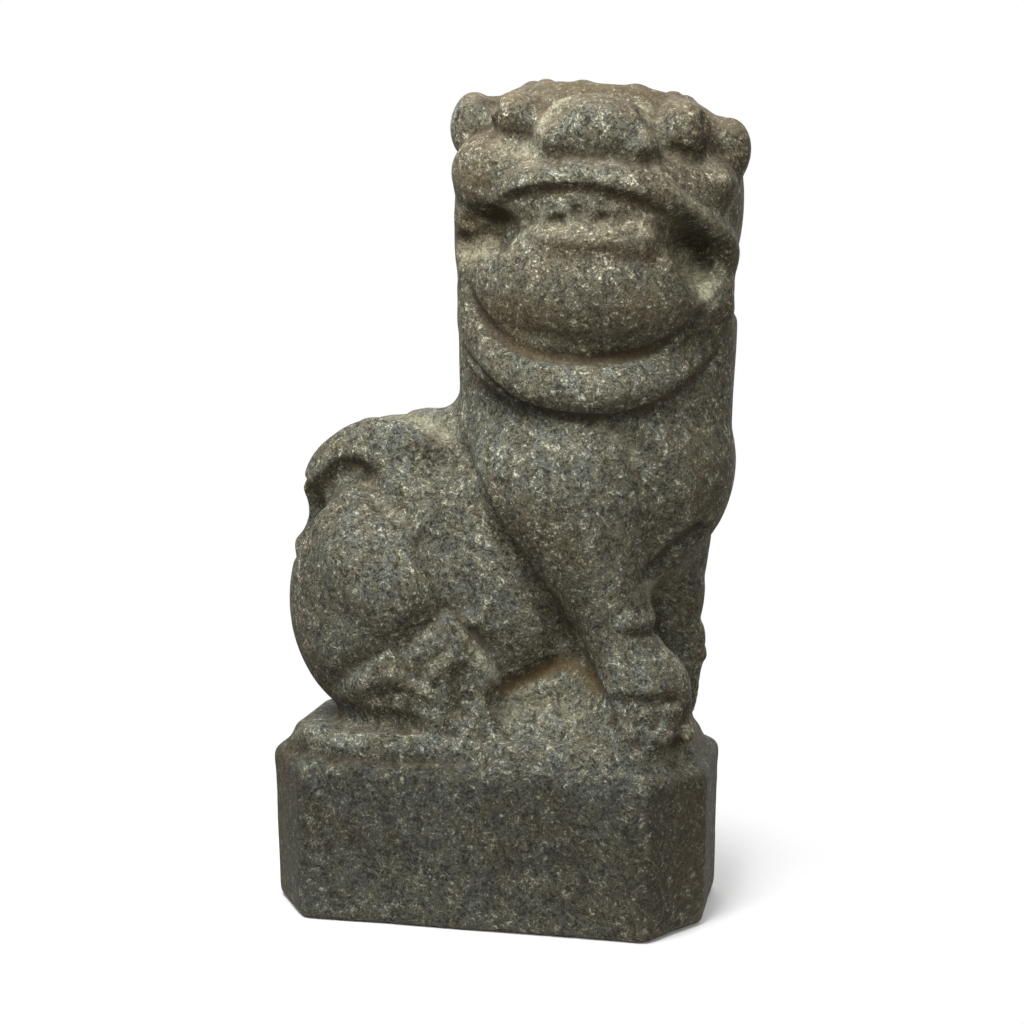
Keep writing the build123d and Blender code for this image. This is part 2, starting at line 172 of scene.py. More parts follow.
# Grooves, folds and gaps that are cut in
GROOVES = {
    "tail over the haunch": Stroke(
        ((299, 522), (307, 511), (319, 496), (332, 481), (346, 471), (360, 478), (376, 492),
         (396, 510), (414, 524)),
        5.5, 4.2, far_too=True,
    ),
    "rump behind the tail": Stroke(((398, 414), (416, 420), (434, 428), (448, 434)), 6.0, 2.4),
    "haunch and flank": Stroke(
        ((424, 530), (442, 560), (454, 590), (458, 612)),
        10.0, 3.0, far_too=True,
    ),
    "haunch above the foot": Stroke(
        ((330, 690), (360, 666), (394, 650), (422, 636), (444, 616)),
        9.0, 1.8, far_too=True,
    ),
    "beside the foot": Stroke(
        ((468, 628), (482, 648), (498, 667), (508, 684)),
        5.0, 2.4, far_too=True,
    ),
    "inside of the foot": Stroke(((462, 672), (463, 692), (464, 724)), 5.0, 3.0, far_too=True),
    "under the mound's edge": Stroke(((316, 750), (360, 758), (420, 764), (476, 765)), 5.0, 1.1),
    "under the foot": Stroke(
        ((344, 712), (372, 718), (404, 724), (436, 730)),
        5.0, 1.6, far_too=True,
    ),
    "hind toe": Stroke(((478, 690), (480, 710), (478, 736)), 2.0, 0.8, far_too=True),
    "under the belly": Stroke(
        ((506, 690), (524, 680), (548, 670), (570, 658)),
        3.4, 2.4, far_too=True,
    ),
    "floor under the belly": Stroke(((514, 708), (545, 704), (580, 704)), 10.0, 2.6, far_too=True),
    "foreleg behind": Stroke(
        ((462, 440), (476, 480), (507, 543), (536, 590), (562, 634), (594, 684), (612, 722)),
        5.0, 2.4,
    ),
    "beside the shoulder": Stroke(((634, 446), (654, 478), (664, 510), (668, 545)), 12.0, 3.0),
    "top of the shoulder": Stroke(((604, 424), (622, 438), (632, 456), (638, 476)), 2.4, 0.9),
    "chest over the far leg": Stroke(((641, 581), (667, 557), (688, 539), (705, 526)), 3.0, 3.0),
    "wrist": Stroke(((630, 634), (645, 633), (658, 627)), 2.2, 0.9),
    "paw over the toes": Stroke(((610, 700), (634, 704), (660, 704), (684, 698)), 2.4, 1.8),
    "first foretoe": Stroke(((634, 710), (632, 728), (636, 746)), 2.0, 1.2),
    "second foretoe": Stroke(((656, 710), (655, 730), (657, 750)), 2.0, 1.2),
    "third foretoe": Stroke(((690, 706), (686, 726), (674, 750)), 2.2, 1.6),
    "beside the far paw": Stroke(
        ((709, 662), (708, 678), (710, 690), (711, 698), (711, 700), (711, 702)),
        10.0, 3.8,
    ),
    "far toes": Stroke(((703, 690), (706, 697), (706, 700), (704, 703)), 6.0, 4.4),
    "under the upper lip": Stroke(
        ((500, 206), (512, 200), (530, 195), (553, 192), (582, 191), (610, 196), (636, 203),
         (662, 213)),
        2.6, 1.8,
    ),
    "jaw and ruff": Stroke(
        ((462, 266), (468, 291), (480, 317), (499, 338), (523, 351), (553, 358), (586, 361),
         (622, 358), (652, 351), (678, 337), (699, 316), (718, 296)),
        2.2, 1.8,
    ),
    "ruff and chest": Stroke(
        ((459, 341), (471, 360), (490, 383), (513, 400), (539, 411), (567, 418), (596, 420),
         (626, 417), (657, 408), (685, 390), (704, 371), (721, 348)),
        2.4, 1.8,
    ),
    "first tooth gap": Stroke(((552, 222), (562, 221)), 2.0, 2.0),
    "second tooth gap": Stroke(((577, 209), (578, 218)), 1.8, 1.8),
    "third tooth gap": Stroke(((596, 221), (605, 219)), 2.0, 2.0),
    "fourth tooth gap": Stroke(((618, 218), (626, 219)), 1.8, 0.9),
    "left mouth corner": Stroke(((466, 226), (480, 224), (495, 221)), 6.0, 2.8),
    "left mouth floor": Stroke(((464, 246), (480, 244), (494, 240)), 5.5, 2.8),
    "right mouth corner": Stroke(((676, 230), (697, 244), (720, 260)), 6.5, 1.6),
    "right mouth floor": Stroke(((679, 260), (692, 273), (707, 287)), 7.5, 3.8),
    "left eye and nose": Stroke(((568, 104), (553, 112), (539, 128), (532, 145)), 3.0, 2.0),
    "right eye and nose": Stroke(((640, 108), (655, 126), (662, 148)), 2.8, 1.8),
    "left eye and ear": Stroke(((495, 98), (493, 119), (491, 142)), 2.4, 1.5),
    "right eye and ear": Stroke(((706, 115), (709, 135), (699, 158)), 2.4, 1.5),
    "under the left eye": Stroke(((495, 146), (514, 152), (532, 155)), 3.0, 1.0),
    "right cheek": Stroke(((664, 153), (681, 156), (699, 163), (720, 174)), 2.4, 1.3),
}

# Narrow ridges that are left standing
RIDGES = {
    "edge of the tail": Stroke(((366, 421), (396, 427), (416, 437), (438, 448)), 2.6, 1.2),
    "instep": Stroke(((340, 694), (384, 670), (422, 650), (450, 626)), 8.0, 2.2, far_too=True),
    "front of the foot": Stroke(
        ((444, 612), (457, 628), (472, 648), (488, 666), (500, 684)),
        2.4, 2.4, far_too=True,
    ),
    "inner edge of the foot": Stroke(
        ((464, 640), (454, 651), (442, 664), (428, 680)),
        3.0, 1.8, far_too=True,
    ),
    "knuckles": Stroke(((392, 678), (410, 684), (430, 698)), 3.4, 1.4, far_too=True),
    "edge of the mound": Stroke(((302, 733), (340, 738), (390, 746), (458, 753)), 5.0, 1.3),
    "wrist tuft": Stroke(((622, 624), (640, 623), (654, 617)), 4.5, 1.2),
    "far wrist tuft": Stroke(((690, 628), (696, 637), (692, 646)), 6.0, 3.4),
    "right lip fold": Stroke(
        ((652, 167), (666, 185), (688, 204), (706, 218), (727, 234)),
        2.2, 1.2,
    ),
    "lower lip": Stroke(((535, 236), (560, 238), (600, 238), (640, 238), (652, 237)), 3.0, 0.7),
}

# A dip across the lion's back, where the tail's root meets the haunches: places in millimetres
TAIL_DIP = ((-76.0, -20.0, 133.0), (-78.0, 2.0, 133.0), (-76.0, 24.0, 133.0))
TAIL_DIP_RADIUS = 14.0
TAIL_DIP_DEPTH = 4.2


class Patch(NamedTuple):
    """A rubbed-in patch of colour: points in the photograph, a radius in millimetres, a strength."""

    photo: tuple
    radius: float
    strength: float


# Pale dust in the hollows round the eyes and nose, on the right cheek, in the elbow and at the toes; dust
# and painted light on the rump and the floor under the belly; painted light on the mouth floors, the
# teeth, the foot and the far foreleg; painted highlights on the lower lip, the right lip fold, the front
# of the foot and the top of the shoulder
DUST_AND_PAINTED_LIGHT = {
    "rump behind the tail": Patch(((390, 411), (412, 418), (434, 428), (450, 433)), 9.0, 0.7),
    "left mouth floor": Patch(((466, 250), (482, 248), (494, 243)), 6.0, 1.0),
    "right mouth floor": Patch(((671, 255), (686, 270), (706, 288)), 8.0, 1.0),
    "teeth": Patch(((530, 222), (590, 226), (650, 224)), 13.0, 0.4),
    "lower lip": Patch(((538, 238), (590, 240), (645, 239)), 6.0, 0.4),
    "left eye and nose": Patch(((562, 104), (548, 116), (536, 134)), 5.0, 0.8),
    "left of the nose": Patch(((500, 148), (520, 152), (540, 156)), 7.0, 0.5),
    "right eye and nose": Patch(((642, 108), (656, 128), (662, 148)), 4.5, 0.7),
    "right lip fold": Patch(((654, 164), (676, 188), (704, 214), (726, 232)), 3.5, 0.6),
    "right cheek": Patch(((664, 152), (684, 156), (704, 164), (722, 174)), 4.5, 0.6),
    "floor under the belly": Patch(((508, 702), (540, 700), (575, 700)), 16.0, 0.4),
    "front of the foot": Patch(((456, 626), (473, 649), (490, 668), (500, 684)), 2.5, 0.7),
    "top of the shoulder": Patch(((600, 427), (624, 442), (635, 462)), 4.5, 0.7),
    "far foreleg": Patch(((664, 584), (680, 606), (686, 640)), 13.0, 0.35),
    "foot": Patch(((400, 672), (430, 664), (456, 640)), 9.0, 0.25),
    "inside of the elbow": Patch(((648, 584), (662, 596)), 5.0, 0.6),
    "end of the toes": Patch(((664, 752), (682, 756)), 5.0, 0.6),
}

# Ochre and brown stains beside the toes and on the left cheek; painted shade under the belly, the chin
# and the upper lip, in the mouth corners, over the chin, on the right side of the chest and at both ends
# of the plinth; painted warm light on the crown
STAINS_PAINTED_SHADE_AND_WARM_LIGHT = {
    "under the belly": Patch(
        ((504, 688), (524, 680), (548, 670), (572, 660), (598, 688)),
        5.5, 1.0,
    ),
    "under the chin": Patch(((520, 350), (586, 360), (650, 350)), 6.0, 0.5),
    "under the upper lip": Patch(
        ((500, 205), (540, 193), (582, 190), (636, 202), (690, 226)),
        4.0, 0.4,
    ),
    "right mouth corner": Patch(((678, 226), (700, 238), (722, 254)), 6.0, 0.3),
    "left mouth corner": Patch(((466, 222), (482, 220), (500, 216)), 7.0, 0.5),
    "beside the toes": Patch(((700, 722), (694, 746)), 7.0, 0.6),
    "end of the plinth": Patch(((292, 722), (282, 790), (286, 880)), 18.0, 0.5),
    "left cheek": Patch(((456, 176), (480, 182)), 14.0, 0.5),
    "chin": Patch(((510, 310), (586, 336), (660, 312)), 18.0, 0.35),
    "right side of the chest": Patch(((690, 440), (700, 500)), 16.0, 0.35),
    "right end of the plinth": Patch(((696, 800), (696, 890)), 18.0, 0.35),
    "crown": Patch(((560, 88), (600, 86), (650, 92)), 14.0, 0.5),
}


def srgb(red, green, blue):
    """A colour as it is seen, from 0 to 255, turned into light."""
    shares = [value / 255 for value in (red, green, blue)]
    light = [s / 12.92 if s <= 0.04045 else ((s + 0.055) / 1.055) ** 2.4 for s in shares]
    return (*light, 1.0)


DARK_GRAIN = srgb(38, 35, 26)
COOL_GRAIN = srgb(98, 101, 92)
OLIVE_GRAIN = srgb(103, 101, 85)
PALE_GRAIN = srgb(216, 214, 190)
# Brown for drifts in the stone and for painted shade; pale dust that also serves as painted light; dark
# brown painted shade for creases; ochre for stains and painted shade; warm painted light for the crown.
BROWN_TONE_AND_SHADE = srgb(92, 82, 61)
PALE_DUST_AND_LIGHT = srgb(188, 182, 152)
CREASE_SHADE_BROWN = srgb(54, 43, 28)
OCHRE_STAIN_AND_SHADE = srgb(86, 69, 35)
WARM_TOP_LIGHT = srgb(150, 128, 98)

# Distances between the blots of the clouds that the grains and tints follow
GRAIN_SPACING = 1.5
FLECK_SPACING = 0.6
BLOTCH_SPACING = 3.8
TINT_SPACING = 5.0
PATCH_SPACING = 9.0
DRIFT_SPACING = 40.0

# Levels of a cloud, a slope or a hollow between which a finish comes in
OLIVE_TINTS = (0.4, 0.6)
BROWN_DRIFTS = (0.45, 0.7)
DARK_SPECKS = (0.42, 0.52)
PALE_SPECKS = (0.535, 0.65)
DUSTY_SPECKS = (0.42, 0.6)
# Slopes for painted shade (to the right, down), settled dust (up) and painted warm light (the crown's
# top); hollow levels for worn edges with a painted highlight, settled dust, and painted shade in creases.
FACING_RIGHT = (0.2, 0.9)
FACING_DOWN = (-0.2, 0.6)
FACING_UP = (0.1, 0.6)
TOP_OF_CROWN = (0.2, 0.8)
WORN_AND_LIT_EDGES = (0.15, 0.5)
RECESSES = (0.08, 0.4)
CREASES = (0.08, 0.4)
RUBBED_IN = (0.0, 1.0)

# Heights between which the plinth's darker stone and painted shade end, and the head's brown and the
# crown's painted warm light begin
PLINTH_TOP = (50.0, 64.0)
HEAD_RISE = (150.0, 220.0)
CROWN_RISE = (235.0, 270.0)

# How strongly the finishes, and the painted light and shade, show
GRAIN_SHARE = 0.52
FLECK_SHARE = 0.18
BLOTCH_SHARE = 0.3
BROWN_DRIFT_SHARE = 0.4
BROWN_RIGHT_SHADE_SHARE = 0.4
BROWN_UNDER_SHADE_SHARE = 0.5
BROWN_HEAD_SHARE = 0.2
SPECK_SHARE = 0.95
DARKEST_PATCH = 0.7
PATCH_RANGE = 0.6
PLINTH_DARKER_STONE_AND_SHADE = 0.46
CROWN_LIGHT_WARMTH = 0.25
CROWN_PAINTED_SHADE = 0.22
EDGES_PALER_WORN_AND_LIT = 0.25
SETTLED_DUST = 0.3
RUBBED_DUST_AND_LIGHT = 0.8
LEAST_CLING = 0.3
SPECK_CLING = 0.6
CREASE_SHADE_SHARE = 0.7
CLEAN_SPECKS = 0.6

# Gloss and roughness of the stone, and the small bumps of its grain
GLOSS = 0.3
ROUGHNESS = 0.8
ROUGHER_SPECKS = 0.14
FLECK_BUMPS = 0.35
BUMP_STRENGTH = 0.8
BUMP_HEIGHT = 0.8

# Floor, which fades out between two distances from the lion, and the light of the room
FLOOR_HALF = 600.0
FLOOR_FADE = (60.0, 140.0)
FLOOR_PAINT = (0.9, 0.9, 0.9, 1.0)
ROOM_WHITE = (1.0, 1.0, 1.0, 1.0)
ROOM_LIGHT = 0.14


class Lamp(NamedTuple):
    """A square soft lamp: its place and size in millimetres, and its power in watts."""

    place: tuple
    size: float
    power: float


LAMPS = {
    "key_lamp": Lamp((-80.0, -300.0, 540.0), 260.0, 4.3),
    "fill_lamp": Lamp((800.0, -900.0, 500.0), 800.0, 4.2),
    "back_lamp": Lamp((100.0, 950.0, 600.0), 1000.0, 11.0),
}


def unit(vector):
    """The same direction, one long."""
    return vector / np.linalg.norm(vector, axis=-1, keepdims=True)


bearing, rise = math.radians(CAMERA_BEARING), math.radians(CAMERA_RISE)
camera_back = np.array(
    (math.sin(bearing) * math.cos(rise), -math.cos(bearing) * math.cos(rise), math.sin(rise))
)
camera_place = CAMERA_AIM + CAMERA_DISTANCE * camera_back
camera_right = np.array((math.cos(bearing), math.sin(bearing), 0.0))
camera_up = np.cross(camera_back, camera_right)

grid_low = np.array(cad_box[0]) / MM - MARGIN
grid_high = np.array(cad_box[1]) / MM + MARGIN
grid_shape = tuple(np.ceil((grid_high - grid_low) / VOXEL).astype(int) + 1)
whole_grid = tuple(slice(0, count) for count in grid_shape)


def window(lowest, highest):
    """A box of the grid, as slices, round two corners."""
    first = np.maximum(np.floor((lowest - grid_low) / VOXEL).astype(int), 0)
    last = np.minimum(np.ceil((highest - grid_low) / VOXEL).astype(int) + 1, grid_shape)
    return tuple(slice(a, b) for a, b in zip(first, last))


def corner_of(box):
    """A box's first voxel."""
    return [side.start for side in box]


def shape_of(box):
    """How many voxels a box has along each axis."""
    return [side.stop - side.start for side in box]


def grid_places(box):
    """The X, Y and Z of a box's voxels, as three arrays that broadcast together."""
    lines = [
        grid_low[axis] + VOXEL * np.arange(side.start, side.stop) for axis, side in enumerate(box)
    ]
    return np.meshgrid(*lines, indexing="ij", sparse=True)


def distances_to(points, box, **faces):
    """Signed distances, inside a box of the grid, to a closed mesh given in voxels."""
    level = openvdb.FloatGrid.createLevelSetFromPolygons(
        points.astype(np.float32), halfWidth=BAND / VOXEL, **faces
    )
    distances = np.empty(shape_of(box), np.float32)
    level.copyToArray(distances, ijk=corner_of(box))
    return distances * VOXEL


def skin(field, box, level=0.0):
    """The mesh where a field inside a box has one level: points in voxels, and quads."""
    volume = openvdb.FloatGrid(BAND)
    volume.copyFromArray(np.ascontiguousarray(field), ijk=corner_of(box))
    return volume.convertToQuads(level)


def node_distances(node):
    """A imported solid's box in the grid, and the signed distances there."""
    mesh = node.data
    mesh.calc_loop_triangles()
    places = np.empty(3 * len(mesh.vertices), np.float32)
    mesh.vertices.foreach_get("co", places)
    places = places.reshape(-1, 3) / MM
    triangles = np.empty(3 * len(mesh.loop_triangles), np.int32)
    mesh.loop_triangles.foreach_get("vertices", triangles)
    box = window(places.min(0) - BAND, places.max(0) + BAND)
    points = (places - grid_low) / VOXEL
    return box, distances_to(points, box, triangles=triangles.reshape(-1, 3).astype(np.uint32))


solids = {name: node_distances(node) for name, node in sorted(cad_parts.items())}


def joined(names):
    """The distances to the nearest of several solids."""
    field = np.full(grid_shape, BAND, np.float32)
    for name in names:
        box, distances = solids[name]
        field[box] = np.minimum(field[box], distances)
    return field


def box_round(names):
    """The box of the grid that holds several solids."""
    boxes = [solids[name][0] for name in names]
    return tuple(
        slice(min(side.start for side in sides), max(side.stop for side in sides))
        for sides in zip(*boxes)
    )


def hollow_out(field, names, radius):
    """Fills the clefts round some solids with hollows of a radius, and leaves the bulges as they are."""
    box = box_round(names)
    points, quads = skin(field[box], box, radius)
    field[box] = np.minimum(field[box], distances_to(points, box, quads=quads) + radius)


def blurred(field, reach):
    """A field averaged twice over a box that reaches so far each way."""
    half = max(1, round(reach / VOXEL))
    width = 2 * half + 1
    for _ in range(2):
        for axis, span in enumerate(field.shape):
            padding = [(half + 1, half) if axis == other else (0, 0) for other in range(3)]
            sums = np.cumsum(np.pad(field, padding, mode="edge"), axis=axis, dtype=np.float64)
            upper = np.take(sums, range(width, width + span), axis=axis)
            lower = np.take(sums, range(span), axis=axis)
            field = ((upper - lower) / width).astype(np.float32)
    return field


def sampled(field, places):
    """A field's values between its voxels."""
    spots = np.clip((places - grid_low) / VOXEL, 0, np.array(grid_shape) - SHORT_OF_END)
    corner = spots.astype(int)
    share = spots - corner
    total = np.zeros(len(places))
    for step in np.ndindex(2, 2, 2):
        weight = np.prod(np.where(step, share, 1 - share), axis=1)
        total += weight * field[tuple((corner + step).T)]
    return total


def outward(field, places):
    """The directions straight out of the stone."""
    steps = VOXEL * np.eye(3)
    slopes = [sampled(field, places + step) - sampled(field, places - step) for step in steps]
    return unit(np.stack(slopes, axis=1) + TINY)


def rounded(points):
    """A line through given points, with its corners cut until it runs smoothly."""
    line = np.array(points, float)
    for _ in range(CORNER_ROUNDS):
        early = (1 - CORNER_SHARE) * line[:-1] + CORNER_SHARE * line[1:]
        late = CORNER_SHARE * line[:-1] + (1 - CORNER_SHARE) * line[1:]
        between = np.stack((early, late), axis=1).reshape(-1, line.shape[1])
        line = np.vstack((line[:1], between, line[-1:]))
    return line


def sight_lines(pixels):
    """The directions from the camera through points of the photograph."""
    across, down = (pixels - PHOTO_WIDTH / 2).T / FOCAL_PIXELS
    return unit(np.outer(across, camera_right) - np.outer(down, camera_up) - camera_back)


def seen_on(field, pixels):
    """Where points of the photograph fall on the stone, without those that miss it."""
    paths = np.arange(CAMERA_DISTANCE - SIGHT_REACH, CAMERA_DISTANCE + SIGHT_REACH, SIGHT_STEP)
    found = []
    for direction in sight_lines(pixels):
        places = camera_place + paths[:, None] * direction
        inside = np.nonzero(sampled(field, places) < 0)[0]
        if len(inside):
            found.append(places[inside[0]])
    return np.array(found)


def settled(field, places):
    """Places moved straight onto the surface of the stone."""
    for _ in range(SETTLING_ROUNDS):
        places = places - sampled(field, places)[:, None] * outward(field, places)
    return places


def far_side(places):
    """Places mirrored to the other side of the lion."""
    return places * (1, -1, 1) + (0, 2 * MIDDLE_Y, 0)


def soft_least(a, b, softness):
    """The lesser of two fields, with a rounded change from one to the other."""
    share = np.clip(0.5 + 0.5 * (b - a) / softness, 0, 1)
    return b + (a - b) * share - softness * share * (1 - share)


def tube(box, line, radii):
    """Distances to a tube along a line, with a radius at each of its points."""
    x, y, z = grid_places(box)
    nearest = np.full(shape_of(box), BAND, np.float32)
    for start, end, first, last in zip(line[:-1], line[1:], radii[:-1], radii[1:]):
        run = end - start
        along = (x - start[0]) * run[0] + (y - start[1]) * run[1] + (z - start[2]) * run[2]
        share = np.clip(along / max(run @ run, TINY), 0, 1)
        offset = [axis - start[i] - share * run[i] for i, axis in enumerate((x, y, z))]
        length = np.sqrt(offset[0] ** 2 + offset[1] ** 2 + offset[2] ** 2)
        nearest = np.minimum(nearest, length - first - share * (last - first))
    return nearest


def cut_stroke(field, places, radius, depth, raised):
    """Carves a groove, or leaves a ridge, that fades out at both ends."""
    side = -1 if raised else 1
    line = places + side * (radius - depth) * outward(field, places)
    share = np.linspace(0, 1, len(line))
    fade = np.clip(np.minimum(share, 1 - share) / FADE_SHARE + END_STRENGTH, 0, 1)
    radii = radius - depth * (1 - fade)
    reach = radius + 2 * STROKE_SOFTNESS
    box = window(line.min(0) - reach, line.max(0) + reach)
    distances = tube(box, line, radii)
    if raised:
        field[box] = soft_least(field[box], distances, STROKE_SOFTNESS)
    else:
        field[box] = -soft_least(-field[box], distances, STROKE_SOFTNESS)


def carve(field):
    """Cuts every stroke, repeats those that the far side has too, and dips the tail's root."""
    for strokes, raised in ((SWELLS, True), (GROOVES, False), (RIDGES, True)):
        for stroke in strokes.values():
            lines = [seen_on(field, rounded(stroke.photo))]
            if stroke.far_too:
                lines.append(settled(field, far_side(lines[0])))
            for line in lines:
                cut_stroke(field, line, stroke.radius, stroke.depth, raised)
    dip = settled(field, rounded(TAIL_DIP))
    cut_stroke(field, dip, TAIL_DIP_RADIUS, TAIL_DIP_DEPTH, raised=False)


def rubbed_in(field, patches):
    """How strongly patches of colour lie on the stone, from 0 to 1."""
    shares = np.zeros(grid_shape, np.float32)
    for patch in patches.values():
        line = seen_on(field, rounded(patch.photo))
        box = window(line.min(0) - patch.radius, line.max(0) + patch.radius)
        depth = -tube(box, line, np.full(len(line), patch.radius)) / patch.radius
        shares[box] = np.maximum(shares[box], patch.strength * depth)
    return shares


def spline_weights(count, knots, spacing):
    """How much each knot counts at each voxel of a line, on a smooth cubic."""
    spot = np.arange(count) * VOXEL / spacing
    first = spot.astype(int)
    t = spot - first
    shares = ((1 - t) ** 3, 3 * t**3 - 6 * t**2 + 4, -3 * t**3 + 3 * t**2 + 3 * t + 1, t**3)
    weights = np.zeros((count, knots), np.float32)
    for step, share in enumerate(shares):
        weights[np.arange(count), first + step] = share / 6
    return weights


def unevenness(spacing, seed):
    """Smooth seeded noise over the grid, with one random value every so far."""
    knots = [int(count * VOXEL / spacing) + CUBIC_KNOTS for count in grid_shape]
    values = np.random.default_rng(seed).uniform(-1, 1, knots).astype(np.float32)
    for axis, count in enumerate(grid_shape):
        weights = spline_weights(count, knots[axis], spacing)
        values = np.moveaxis(np.tensordot(weights, values, axes=(1, axis)), 0, axis)
    return values


def proudness():
    """How far stone may stand out of the column, by its bearing from the face."""
    x, y, _ = grid_places(whole_grid)
    x, y = x - COLUMN_AXIS[0], y - COLUMN_AXIS[1]
    face = math.radians(FACE_BEARING)
    ahead = (x * math.sin(face) - y * math.cos(face)) / np.hypot(np.hypot(x, y), VOXEL)
    return PROUD_SIDE + PROUD_FRONT * np.maximum(ahead, 0) ** PROUD_EASE


def carved_block():
    """The whole statue as one field: joined, carved, rubbed down and pecked."""
    feet = [name for name in solids if name.endswith(("foot", "toes"))]
    body = (*COLUMN, *TRUNK, *BASE, *TAIL, *JAWS, *LEGS, *feet)
    face = [name for name in solids if name not in body]
    block = joined(COLUMN)
    hollow_out(block, COLUMN, COLUMN_HOLLOW)
    jaws = np.maximum(joined(JAWS), block - proudness())
    for names, masses, radius in (
        (LEGS, joined(LEGS), LEG_HOLLOW),
        (TRUNK, joined(TRUNK), TRUNK_HOLLOW),
        (TAIL, joined(TAIL), TAIL_HOLLOW),
        (BASE, joined(BASE), BASE_HOLLOW),
        (JAWS, jaws, JAW_HOLLOW),
        (feet, joined(feet), FOOT_HOLLOW),
        (face, joined(face), FACE_HOLLOW),
    ):
        block = np.minimum(block, masses)
        hollow_out(block, names, radius)
    block = blurred(block, RUBBED)
    carve(block)
    block += WAVE_HEIGHT * unevenness(WAVE_SPACING, WAVE_SEED)
    block += DENT_HEIGHT * unevenness(DENT_SPACING, DENT_SEED)
    block += PECK_DEPTH * np.maximum(unevenness(PECK_SPACING, PECK_SEED) - PECK_LEVEL, 0)
    height = grid_places(whole_grid)[2]
    return np.maximum(block, -height).astype(np.float32)


def nearest_solids():
    """The distances to the nearest solid and to the next one, and which solid is the nearest."""
    nearest = np.full(grid_shape, BAND, np.float32)
    second = nearest.copy()
    owner = np.full(grid_shape, -1, np.int8)
    for number, (box, distances) in enumerate(solids.values()):
        closer = distances < nearest[box]
        second[box] = np.where(closer, nearest[box], np.minimum(second[box], distances))
        nearest[box] = np.where(closer, distances, nearest[box])
        owner[box] = np.where(closer, number, owner[box])
    return nearest, second, owner


def metres(lengths):
    """Millimetres turned into metres."""
    return [length * MM for length in lengths]


def new_object(name, data):
    """A mesh, a lamp or a camera put into the scene."""
    placed = bpy.data.objects.new(name, data)
    bpy.context.scene.collection.objects.link(placed)
    return placed


def new_piece(name, places, quads, material):
    """A smooth mesh piece in the shared frame."""
    mesh = bpy.data.meshes.new(name)
    mesh.from_pydata(places * MM, [], quads)
    mesh.polygons.foreach_set("use_smooth", np.ones(len(quads), bool))
    mesh.materials.append(material)
    return new_object(name, mesh)


def mark(piece, name, values):
    """Keeps a number at each point of a piece, for its material."""
    layer = piece.data.attributes.new(name, "FLOAT", "POINT")
    layer.data.foreach_set("value", values.astype(np.float32))


def cut_pieces(block, material):
    """Cuts the block apart where the solids meet, into one closed piece for each node."""
    # Hollows for dust, worn edges and painted shade, and patches of dust, painted light, stains and
    # painted shade, kept at each point.
    layers = {
        "crease": -blurred(block, CREASE_SCALE) / CREASE_SCALE,
        "recess": -blurred(block, RECESS_SCALE) / RECESS_SCALE,
        "dust_and_painted_light": rubbed_in(block, DUST_AND_PAINTED_LIGHT),
        "stain_shade_and_light": rubbed_in(block, STAINS_PAINTED_SHADE_AND_WARM_LIGHT),
    }
    nearest, second, owner = nearest_solids()
    for number, (name, (box, distances)) in enumerate(solids.items()):
        others = np.where(owner[box] == number, second[box], nearest[box])
        past_joint = (distances - others) / 2
        dived = block[box] + DIVE * np.maximum(past_joint, 0)
        points, quads = skin(np.maximum(dived, past_joint - OVERLAP), box)
        places = grid_low + VOXEL * points.astype(float)
        piece = new_piece(f"carved_{name}", places, quads[:, ::-1], material)
        for layer, values in layers.items():
            mark(piece, layer, sampled(values, places))
        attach(piece, "root")
        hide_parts(name)


class Wire:
    """A shader socket that takes part in plain sums, and adds the nodes that they need."""

    def __init__(self, tree, socket=None):
        self.tree = tree
        self.socket = socket

    def add(self, kind, settings=None, inputs=None, output=0):
        """Adds any node: its settings first, then the values or links of its sockets."""
        node = self.tree.nodes.new(kind)
        for name, value in (settings or {}).items():
            setattr(node, name, value)
        for name, value in (inputs or {}).items():
            if isinstance(value, Wire):
                self.tree.links.new(value.socket, node.inputs[name])
            else:
                node.inputs[name].default_value = value
        return Wire(self.tree, node.outputs[output] if node.outputs else None)

    def maths(self, operation, first, second):
        """One step of a sum."""
        return self.add("ShaderNodeMath", {"operation": operation}, {0: first, 1: second})

    def __add__(self, other):
        return self.maths("ADD", self, other)

    __radd__ = __add__

    def __sub__(self, other):
        return self.maths("SUBTRACT", self, other)

    def __rsub__(self, other):
        return self.maths("SUBTRACT", other, self)

    def __neg__(self):
        return 0 - self

    def __mul__(self, other):
        return self.maths("MULTIPLY", self, other)

    __rmul__ = __mul__

    def axis(self, letter):
        """One axis of a place or a direction."""
        return self.add("ShaderNodeSeparateXYZ", inputs={0: self}, output=letter)

    def between(self, low, high):
        """From 0 at the low value to 1 at the high one, smoothly."""
        inputs = {"Value": self, "From Min": low, "From Max": high}
        return self.add("ShaderNodeMapRange", {"interpolation_type": "SMOOTHSTEP"}, inputs)

    def mix(self, first, second):
        """The first of two colours at a share of 0, and the second at 1."""
        return self.add("ShaderNodeMix", {"data_type": "RGBA"}, {0: self, 6: first, 7: second}, 2)

    def times(self, factor):
        """This colour, darker or paler by a factor."""
        return self.add("ShaderNodeVectorMath", {"operation": "SCALE"}, {0: self, "Scale": factor})

    def cloud(self, spacing, detail=2.0, roughness=0.5, distortion=0.0):
        """Noise at this place, with its blots so far apart."""
        inputs = {
            "Vector": self,
            "Scale": 1 / (spacing * MM),
            "Detail": detail,
            "Roughness": roughness,
            "Distortion": distortion,
        }
        return self.add("ShaderNodeTexNoise", inputs=inputs)


def workbench(owner):
    """An empty node tree in a material or a world, ready for its nodes."""
    owner.use_nodes = True
    owner.node_tree.nodes.clear()
    return Wire(owner.node_tree)


